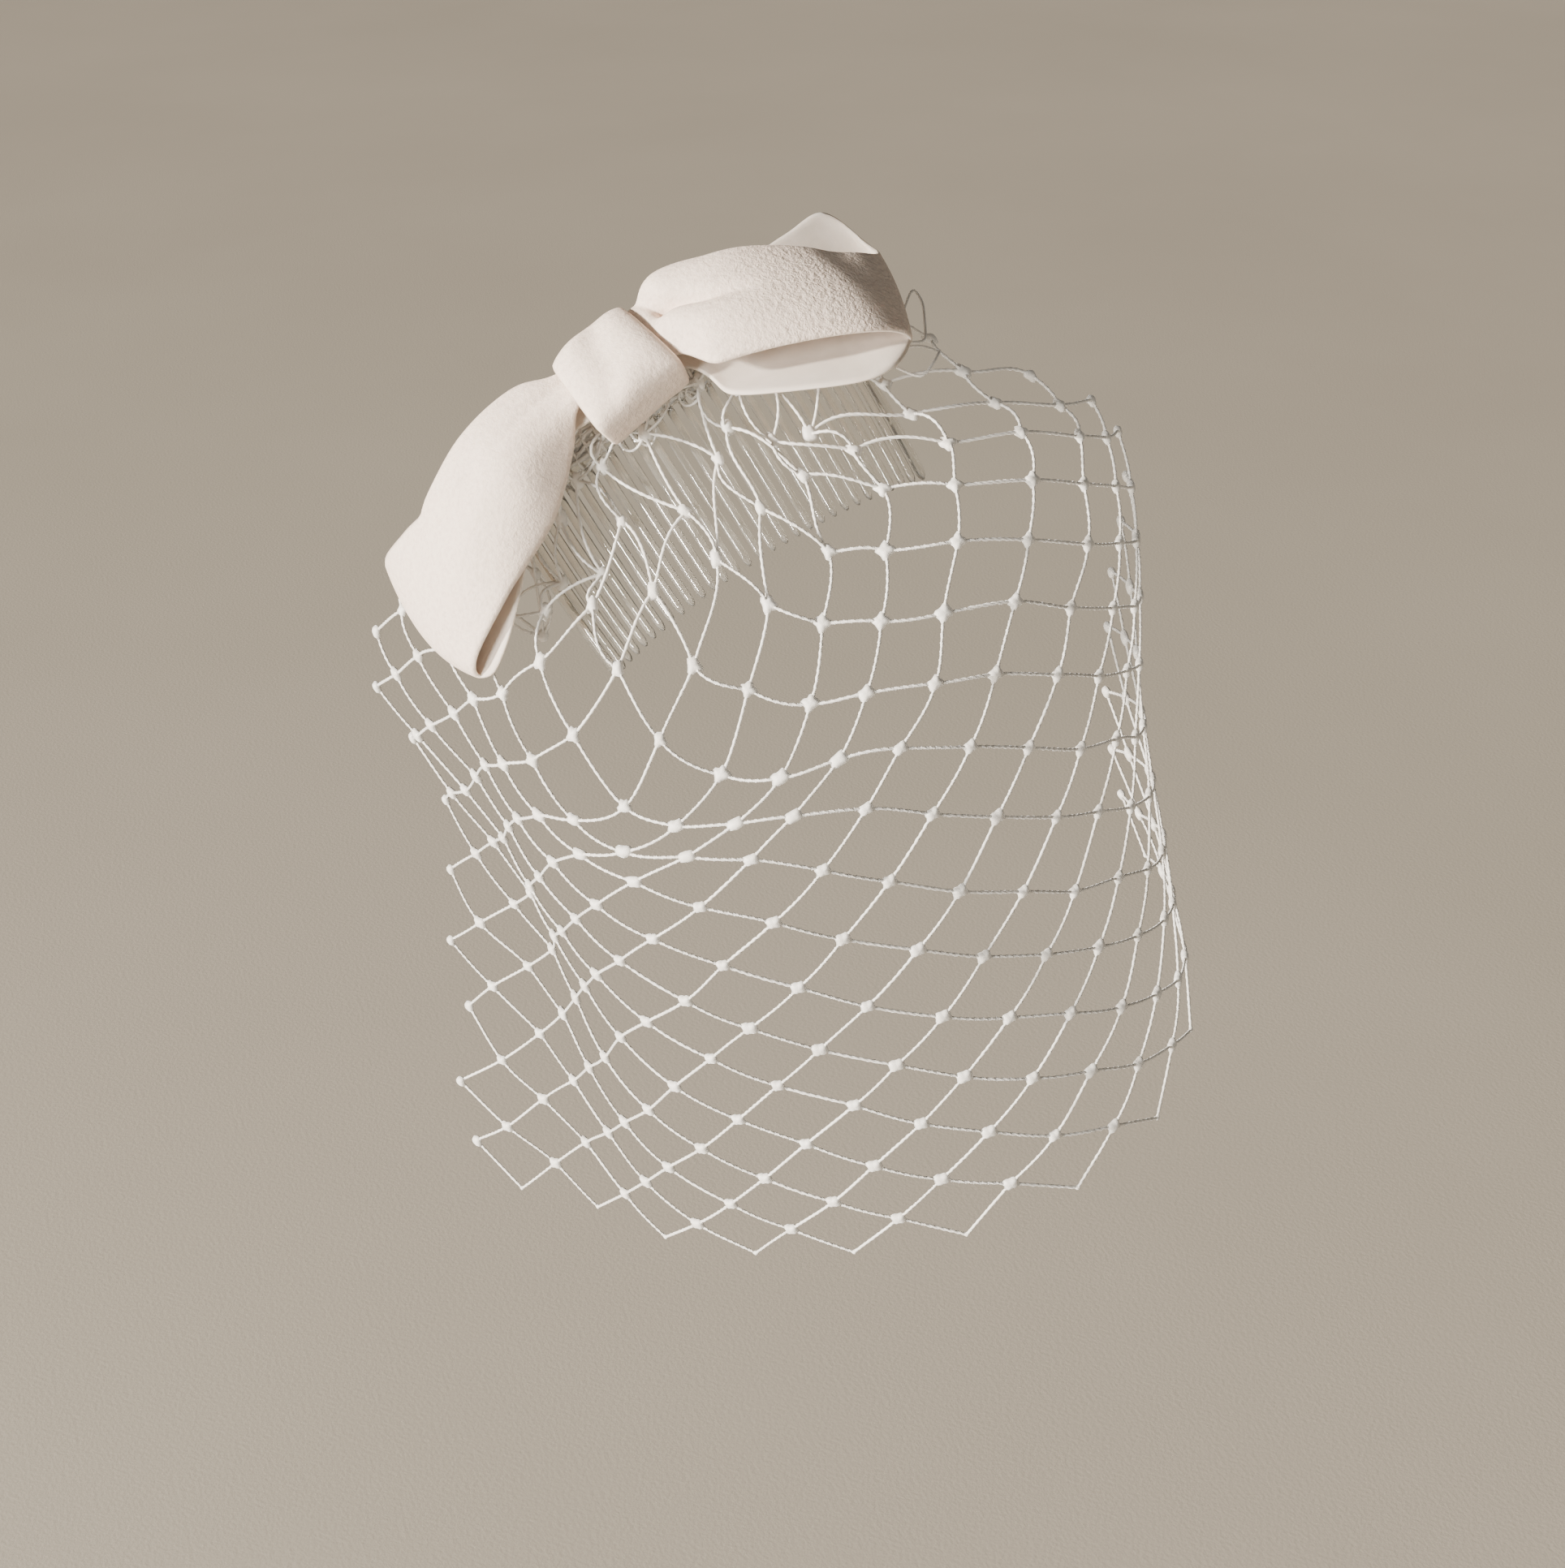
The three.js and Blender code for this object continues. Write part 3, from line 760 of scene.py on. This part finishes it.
def knot_piece(name, knots, normals):
    """Each knot is a small four-pointed lens whose points run out along its strands."""
    theta = round_angles(LENS_SIDES)
    parts = []
    for (q, p), centre in knots.items():
        if q == FIRST_ROW:
            continue
        normal = normals[q, p]
        others = [knots.get((q + dq, p + dp)) for dq, dp in ((1, 1), (1, -1), (-1, 1), (-1, -1))]
        arms = [unit(other - centre) for other in others if other is not None]
        east = unit(arms[0] - np.dot(arms[0], normal) * normal)
        north = np.cross(normal, east)
        reach = np.zeros(LENS_SIDES)
        for arm in arms:
            angle = math.atan2(np.dot(arm, north), np.dot(arm, east))
            reach = np.maximum(reach, np.clip(np.cos(theta - angle), 0, 1) ** LENS_POINT_POWER)
        size = KNOT_RADIUS * (LENS_LEAST_SIZE + LENS_SPREAD * rng.random())
        thick = LENS_THICK
        if q == ROWS:
            size *= HEM_LENS_SIZE
            thick = HEM_LENS_THICK
        parts.append(lens(centre, normal, east, size * (LENS_ROUND + LENS_POINT * reach), thick))
    obj = link_mesh(name, *joined(parts))
    obj.data.materials.append(THREAD)
    return obj


def make_net():
    knots, normals = net_knots()
    strands = thread_piece("net_strands", *strand_paths(knots, normals))
    hand_over(strands, "net", "veil_net")
    hand_over(knot_piece("net_knots", knots, normals), "net")


# Heading: the net's top edge, bunched and sewn along the comb's spine

HEADING_THREADS = 9
HEADING_STEPS = 220
HEADING_INSET = 0.5
HEADING_MARGIN = 1.4
HEADING_THREAD = 0.5
# The waves of a gathered thread, two down the comb and two out from it: their heights and lengths.
HEADING_WAVES = [(0.7, 3.1), (0.5, 1.9), (0.75, 2.6), (0.35, 1.3)]
STITCH_STEPS = 33
STITCH_OVER = 0.6
STITCH_BEHIND = 0.5
STITCH_SUNK = 0.2
STITCH_POWER = 0.6
STITCH_LEAN = 0.9
SEWING_RADIUS = 0.3
SEWING_PITCH = 1.6
# Loose loops of the net's corner past the bow's end: millimetres along the bow and across it.
CORNER_LOOPS = [
    [(46, 24), (55, 21), (60, 16), (65, 12), (64.5, 16), (61, 22), (57.5, 26.5), (54, 28), (50, 25.5)],
    [(47, 29), (51, 28.5), (54, 29.5), (57.5, 31.5)],
    [(46, 32), (49, 36.5), (53, 35), (57.5, 31.5)],
]
CORNER_STEPS = 12
CORNER_SWAY = 0.6
# Loose loops of sewing thread below the knot of the bow.
THREAD_LOOPS = [
    dict(along=-8, down=5.5, size=2.4, tilt=0.3),
    dict(along=-6, down=5, size=1.9, tilt=1.1),
    dict(along=-4.5, down=6.5, size=2.1, tilt=-0.5),
    dict(along=6, down=4.5, size=2, tilt=0.7),
    dict(along=7.5, down=3.6, size=1.6, tilt=-0.2),
]
LOOP_ROUND = 0.75
LOOP_OUT = 2.6
LOOP_SWAY = 0.8


def heading_paths():
    paths = []
    along = np.linspace(-COMB_ARC / 2 + HEADING_INSET, COMB_ARC / 2 - HEADING_INSET, HEADING_STEPS)
    for k in range(HEADING_THREADS):
        phases = rng.random(4) * 2 * math.pi
        waves = [height * np.sin(along / length + phase)
                 for (height, length), phase in zip(HEADING_WAVES, phases)]
        down = (k / (HEADING_THREADS - 1) - 0.5) * (HEADING_WIDTH - HEADING_MARGIN) + waves[0] + waves[1]
        paths.append(on_comb(along, down, HEADING_LIFT + waves[2] + waves[3]))
    return paths


def stitch_paths():
    """Whipped stitches round the spine and the heading, one between each two teeth."""
    pitch = (COMB_ARC - GUARD_WIDTH) / (TOOTH_COUNT - 1)
    turn = np.linspace(0, FULL_TURN, STITCH_STEPS)
    low = -SPINE_THICKNESS / 2 - STITCH_BEHIND
    high = HEADING_LIFT + HEADING_THICKNESS / 2 - STITCH_SUNK
    down = (SPINE_HEIGHT / 2 + STITCH_OVER) * flattened(np.cos(turn), STITCH_POWER)
    out = (low + high) / 2 + (high - low) / 2 * flattened(np.sin(turn), STITCH_POWER)
    paths = []
    for k in range(TOOTH_COUNT - 1):
        centre = (k - (TOOTH_COUNT - 2) / 2) * pitch
        paths.append(on_comb(centre + (turn / FULL_TURN - 0.5) * pitch * STITCH_LEAN, down, out))
    return paths


def corner_paths():
    paths = []
    for corners in CORNER_LOOPS:
        places = np.array(corners, float)
        shares = np.linspace(0, 1, CORNER_STEPS * len(corners))
        path = np.array([catmull(places, share) for share in shares])
        paths.append(on_bow(path[:, 0], path[:, 1], CORNER_SWAY * np.sin(path[:, 0] / 2)))
    return paths


def thread_loop_paths():
    paths = []
    turn = np.linspace(0, FULL_TURN, STITCH_STEPS)
    for row in THREAD_LOOPS:
        wide, high = row["size"] * np.cos(turn), row["size"] * LOOP_ROUND * np.sin(turn)
        cosine, sine = math.cos(row["tilt"]), math.sin(row["tilt"])
        paths.append(on_comb(row["along"] + wide * cosine - high * sine,
                             row["down"] + wide * sine + high * cosine,
                             LOOP_OUT + LOOP_SWAY * np.sin(2 * turn + row["tilt"])))
    return paths


def make_heading():
    gathers = heading_paths()
    bundle = thread_piece("heading_threads", gathers, [out_of_head] * len(gathers), radius=HEADING_THREAD)
    hand_over(bundle, "net")

    paths, references = [], []
    for group, reference in ((stitch_paths(), along_spine), (corner_paths(), out_of_bow),
                             (thread_loop_paths(), out_of_head)):
        paths += group
        references += [reference] * len(group)
    sewing = thread_piece("sewing_thread", paths, references, radius=SEWING_RADIUS, pitch=SEWING_PITCH)
    hand_over(sewing, "net")


# Comb

def tooth_rings(along, width):
    root = SPINE_HEIGHT / 2 - TOOTH_SUNK
    theta = round_angles(TOOTH_SIDES, 0.5)
    rings = []
    for k in range(TOOTH_STEPS + 1):
        down = root + (TOOTH_TIP - root) * math.sin(k / TOOTH_STEPS * math.pi / 2)
        into_tip = max((down - TOOTH_TIP + width) / width, 0)
        taper = math.sqrt(max(1 - into_tip ** 2, TIP_LEAST_SQUARE))
        side = along + width / 2 * taper * flattened(np.cos(theta), TOOTH_POWER)
        sweep = TOOTH_SWEEP * (down / TOOTH_LENGTH) ** 2
        out = TOOTH_THICKNESS / 2 * taper * flattened(np.sin(theta), TOOTH_POWER) - sweep
        rings.append(on_comb(side, np.full(TOOTH_SIDES, down), out))
    return rings


def spine_rings():
    theta = round_angles(SPINE_SIDES, 0.5)
    rings = []
    for along in np.linspace(-COMB_ARC / 2, COMB_ARC / 2, SPINE_STEPS + 1):
        past = max(abs(along) - COMB_ARC / 2 + SPINE_END, 0)
        size = 1 - past ** 2 / SPINE_END ** 2 * SPINE_END_TAPER
        rings.append(on_comb(np.full(SPINE_SIDES, along),
                             size * SPINE_HEIGHT / 2 * flattened(np.cos(theta), SPINE_POWER),
                             size * SPINE_THICKNESS / 2 * flattened(np.sin(theta), SPINE_POWER)))
    return rings


def make_comb():
    pitch = (COMB_ARC - GUARD_WIDTH - 2 * GUARD_INSET) / (TOOTH_COUNT - 1)
    rows = []
    for k in range(TOOTH_COUNT):
        width = GUARD_WIDTH if k in (0, TOOTH_COUNT - 1) else TOOTH_WIDTH
        rows.append(loft(tooth_rings((k - (TOOTH_COUNT - 1) / 2) * pitch, width)))
    teeth = link_mesh("comb_teeth", *joined(rows))
    fix_normals(teeth)
    comb = link_mesh("comb_clear", *loft(spine_rings()))
    fix_normals(comb)
    union = comb.modifiers.new("teeth", "BOOLEAN")
    union.operation = "UNION"
    union.solver = "EXACT"
    union.object = teeth
    bpy.ops.object.modifier_apply(modifier=union.name)
    bpy.data.objects.remove(teeth)
    comb.data.materials.clear()
    comb.data.materials.append(CLEAR)
    shade_smooth(comb.data)
    hand_over(comb, "comb", "hair_comb")


# Bow

# Each loop of ribbon from under the knot, out along the back layer, round the fold and home along the front.
# out is a share of the loop's length, and rise and curl of LOOP_RISE. The others are shares of RIBBON_WIDTH:
# crown and face are where the ribbon's two edges lie, arch is how far its middle stands above them,
# and bulge how far the middle reaches out past them. curl is how far the face edge bends down,
# and lean how far that edge reaches out past the crown edge.
LEFT_STATIONS = [
    dict(out=0.01, rise=0.16, crown=-0.12, face=0.06, arch=0.01),
    dict(out=0.15, rise=0.13, crown=-0.13, face=0.07, arch=0.01),
    dict(out=0.28, rise=0.06, crown=-0.2, face=0.04, arch=0.01),
    dict(out=0.5, rise=0, crown=-0.29, face=0.18, curl=-0.1),
    dict(out=0.76, rise=0, crown=-0.39, face=0.36, curl=-0.2, bulge=0.03),
    dict(out=0.94, rise=0.12, crown=-0.44, face=0.4, curl=-0.15, bulge=0.08),
    dict(out=1, rise=0.38, crown=-0.44, face=0.35, bulge=0.1),
    dict(out=0.93, rise=0.66, crown=-0.38, face=0.34, curl=0.1, bulge=0.08),
    dict(out=0.72, rise=0.84, crown=-0.25, face=0.34, arch=0.02, curl=0.38, bulge=0.02),
    dict(out=0.45, rise=0.9, crown=-0.25, face=0.27, arch=0.03, curl=0.75),
    dict(out=0.26, rise=0.66, crown=-0.24, face=0.12, arch=0.02, curl=0.5),
    dict(out=0.15, rise=0.48, crown=-0.16, face=0.04, arch=0.02, curl=0.1),
    dict(out=0.01, rise=0.44, crown=-0.12, face=0.04, arch=0.01),
]
RIGHT_STATIONS = [
    dict(out=0.01, rise=0.16, crown=-0.12, face=0.16, arch=0.01),
    dict(out=0.18, rise=0.13, crown=-0.13, face=0.17, arch=0.01),
    dict(out=0.3, rise=0.06, crown=-0.2, face=0.29, arch=0.01, curl=-0.12),
    dict(out=0.5, rise=0, crown=-0.32, face=0.42, curl=-0.3),
    dict(out=0.75, rise=0, crown=-0.54, face=0.5, curl=-0.4, bulge=0.01, lean=0.09),
    dict(out=0.93, rise=0.08, crown=-0.69, face=0.46, curl=-0.38, bulge=0.02, lean=0.07),
    dict(out=1.04, rise=0.28, crown=-0.42, face=0.29, curl=-0.05, bulge=0.02, lean=0.05),
    dict(out=1.03, rise=0.52, crown=-0.24, face=0.28, bulge=0.02, lean=0.02),
    dict(out=0.83, rise=0.84, crown=-0.18, face=0.31, arch=0.01, curl=0.12, bulge=0.01, lean=0.08),
    dict(out=0.52, rise=0.95, crown=-0.21, face=0.31, arch=0.02, curl=0.2, lean=0.02),
    dict(out=0.3, rise=0.78, crown=-0.2, face=0.28, arch=0.02, curl=0.15),
    dict(out=0.18, rise=0.54, crown=-0.15, face=0.18, arch=0.02),
    dict(out=0.01, rise=0.44, crown=-0.12, face=0.16, arch=0.01),
]
COLUMN_MEASURES = dict(out="length", rise="rise", crown="ribbon", face="ribbon", arch="ribbon", curl="rise",
                       bulge="ribbon", lean="ribbon")

# Soft creases of the front layers, in millimetres along and across a loop: from one place to another,
# with a width and a depth that fades out along the way. A negative depth is a ridge.
LEFT_CREASES = [
    dict(start=(8, -5), end=(24, -3), width=1.6, depth=0.9),
    dict(start=(8, 0.5), end=(26, 5.5), width=2.2, depth=-0.9),
    dict(start=(31, -3.5), end=(36, -1), width=2.4, depth=0.8),
    dict(start=(46, -13), end=(52, -4), width=2.4, depth=1.1),
    dict(start=(26, 9), end=(50, 18), width=3.2, depth=-0.8),
]
RIGHT_CREASES = [
    dict(start=(13.5, -1), end=(10, -10), width=1.4, depth=3),
    dict(start=(13.5, -1), end=(28, 1.5), width=1.6, depth=3.2),
    dict(start=(15, -7), end=(33, -7.5), width=4, depth=-1.6),
    dict(start=(13, 4.5), end=(30, 8), width=3, depth=-1),
    dict(start=(46, -8), end=(52, 4), width=4, depth=1),
]
CREASE_FADE = 0.8
# The share of a loop's way at which its front layer starts to take the creases, and how soon it has them.
FRONT_FROM = 0.52
FRONT_OVER = 0.1
SWEEP_OVER = 1.5

VELVET_SLOT = 0
SATIN_SLOT = 1
SELVEDGE_FROM = 0.93
SELVEDGE_ROUND = 0.075
SELVEDGE_LEAST_SQUARE = 0.12
WEAVE_REPEATS = 4

# The band of the bow's knot.
BAND_AROUND = 112
BAND_WIDE = 34
BAND_POWER = 0.5
BAND_SWELL = 1.6
BAND_SWELL_POWER = 0.8
BAND_SIDE_SWELL = 0.3
BAND_EDGE_DROP = 1.1
BAND_EDGE_POWER = 7
BAND_CRUMPLE = 0.25
TROUGH_PLACE = 0.45
TROUGH_DRIFT = 0.25
TROUGH_WIDTH = 0.17
TROUGH_DEPTH = 1.1


def crease_depth(creases, along, across):
    """How far the creases press the front layer in at each place."""
    depth = np.zeros_like(across)
    for crease in creases:
        start, end = np.array(crease["start"], float), np.array(crease["end"], float)
        run = end - start
        share = ((along - start[0]) * run[0] + (across - start[1]) * run[1]) / np.dot(run, run)
        share = np.clip(share, 0, 1)
        away = np.hypot(along - start[0] - share * run[0], across - start[1] - share * run[1])
        depth = depth + crease["depth"] * np.exp(-(away / crease["width"]) ** 2) * (1 - CREASE_FADE * share)
    return depth


def ribbon_surface(stations, length, hand, sweep, creases):
    """Points of a loop's middle surface, as an array of steps by width."""
    measures = dict(length=length, rise=LOOP_RISE, ribbon=RIBBON_WIDTH)
    rows = np.array([[row.get(key, 0) * measures[measure] for key, measure in COLUMN_MEASURES.items()]
                     for row in stations])
    pivot = KNOT_WIDTH / 2
    inner = SOLID_RIBBON + KNOT_GAP
    share = np.linspace(-1, 1, LOOP_WIDE + 1)
    full = 1 - share ** 2
    points = np.zeros((LOOP_STEPS + 1, LOOP_WIDE + 1, 3))
    for k in range(LOOP_STEPS + 1):
        at = k / LOOP_STEPS
        middle, rise, crown, face, arch, curl, bulge, lean = catmull(rows, at)
        along = middle + bulge * full + lean * (share + 1) / 2
        across = crown + (face - crown) * (share + 1) / 2
        front = min(max((at - FRONT_FROM) / FRONT_OVER, 0), 1)
        out = inner + rise + arch * full - curl * np.maximum(share, 0) ** 2
        out = out - front * crease_depth(creases, along, across)
        turn = math.radians(sweep) * eased(np.clip((along - pivot) / (SWEEP_OVER * pivot), 0, 1))
        points[k] = on_bow(hand * (pivot + (along - pivot) * np.cos(turn) - across * np.sin(turn)),
                           (along - pivot) * np.sin(turn) + across * np.cos(turn), out)
    return points


def ribbon_faces(steps, wide, closed):
    """Faces and material slots of a ribbon: its face, its back, its selvedges and any cut ends."""
    first_back = steps * wide
    faces, slots = [], []

    def add(quad, slot, turned=False):
        faces.append(quad[::-1] if turned else quad)
        slots.append(slot)

    for k in range(steps if closed else steps - 1):
        a, b = k * wide, (k + 1) % steps * wide
        for w in range(wide - 1):
            add((a + w, b + w, b + w + 1, a + w + 1), VELVET_SLOT)
            back_a, back_b = first_back + a + w, first_back + b + w
            add((back_a, back_a + 1, back_b + 1, back_b), SATIN_SLOT)
        for w, turned in ((0, True), (wide - 1, False)):
            add((a + w, b + w, first_back + b + w, first_back + a + w), SATIN_SLOT, turned)
    if not closed:
        for k, turned in ((0, False), (steps - 1, True)):
            for a in range(k * wide, k * wide + wide - 1):
                add((a, a + 1, first_back + a + 1, first_back + a), SATIN_SLOT, turned)
    return faces, slots


def ribbon_piece(name, points, closed=False):
    """A ribbon with a velvet face, a satin back and rounded selvedges."""
    steps, wide = points.shape[:2]
    if closed:
        run = np.roll(points, -1, axis=0) - np.roll(points, 1, axis=0)
    else:
        run = np.gradient(points, axis=0)
    normal = unit(np.cross(run, np.gradient(points, axis=1)))
    edge = np.abs(np.linspace(-1, 1, wide))
    rounded = np.clip((edge - SELVEDGE_FROM) / SELVEDGE_ROUND, 0, 1)
    half = RIBBON_THICKNESS / 2 * np.sqrt(np.clip(1 - rounded ** 2, SELVEDGE_LEAST_SQUARE, 1))
    offset = normal * half[None, :, None]
    vertices = np.concatenate([(points + offset).reshape(-1, 3), (points - offset).reshape(-1, 3)])
    faces, slots = ribbon_faces(steps, wide, closed)
    obj = link_mesh(name, vertices, faces)
    obj.data.materials.append(VELVET)
    obj.data.materials.append(SATIN)
    obj.data.polygons.foreach_set("material_index", slots)
    row, column = np.meshgrid(np.arange(steps) / (steps - 1), np.arange(wide) / (wide - 1), indexing="ij")
    uv = np.tile(np.stack([row.ravel() * WEAVE_REPEATS, column.ravel()], axis=1), (2, 1))
    corners = np.zeros(len(obj.data.loops), dtype=int)
    obj.data.loops.foreach_get("vertex_index", corners)
    obj.data.uv_layers.new(name="ribbon").data.foreach_set("uv", uv[corners].ravel())
    fix_normals(obj)
    return obj


def make_loop(name, node, stations, creases, length, sweep, hand):
    points = ribbon_surface(stations, length, hand, sweep, creases)
    obj = ribbon_piece(name, points if hand > 0 else points[:, ::-1])
    hand_over(obj, "ribbon", node)


def make_knot():
    """The band round the bow's middle: full in front, with a soft trough that drifts as it goes round."""
    share = np.linspace(0, 1, BAND_WIDE + 1)
    half = RIBBON_THICKNESS / 2
    points = np.zeros((BAND_AROUND, BAND_WIDE + 1, 3))
    for k in range(BAND_AROUND):
        turn = k / BAND_AROUND * 2 * math.pi
        front = max(math.sin(turn), 0)
        trough = TROUGH_PLACE - TROUGH_DRIFT * math.cos(turn)
        swell = (np.sin(share * math.pi) ** BAND_SWELL_POWER * BAND_SWELL * front
                 - BAND_EDGE_DROP * np.abs(2 * share - 1) ** BAND_EDGE_POWER
                 - TROUGH_DEPTH * front * np.exp(-((share - trough) / TROUGH_WIDTH) ** 2))
        across = (KNOT_DEPTH / 2 - half + BAND_SIDE_SWELL * swell) * flattened(math.cos(turn), BAND_POWER)
        out = KNOT_HEIGHT / 2 + (KNOT_HEIGHT / 2 - half + swell) * flattened(math.sin(turn), BAND_POWER)
        crumple = BAND_CRUMPLE * np.sin(share * 9 + 2 * math.cos(turn)) * np.sin(3 * turn + share * 4)
        width = KNOT_WIDTH + 2 * KNOT_FLARE * across / KNOT_DEPTH
        points[k] = on_bow((share - 0.5) * width, KNOT_FORWARD + across, out + crumple)
    obj = ribbon_piece("bow_band", points[:, ::-1], closed=True)
    hand_over(obj, "ribbon", "bow_knot")


# The whole

add_camera()
add_world()
add_lights()
add_floor()

make_comb()
make_net()
make_heading()
make_knot()
make_loop("bow_loop_right_side", "bow_left_loop", LEFT_STATIONS, LEFT_CREASES, LEFT_LOOP, LEFT_SWEEP, hand=-1)
make_loop("bow_loop_crown_side", "bow_right_loop", RIGHT_STATIONS, RIGHT_CREASES, RIGHT_LOOP, RIGHT_SWEEP,
          hand=1)
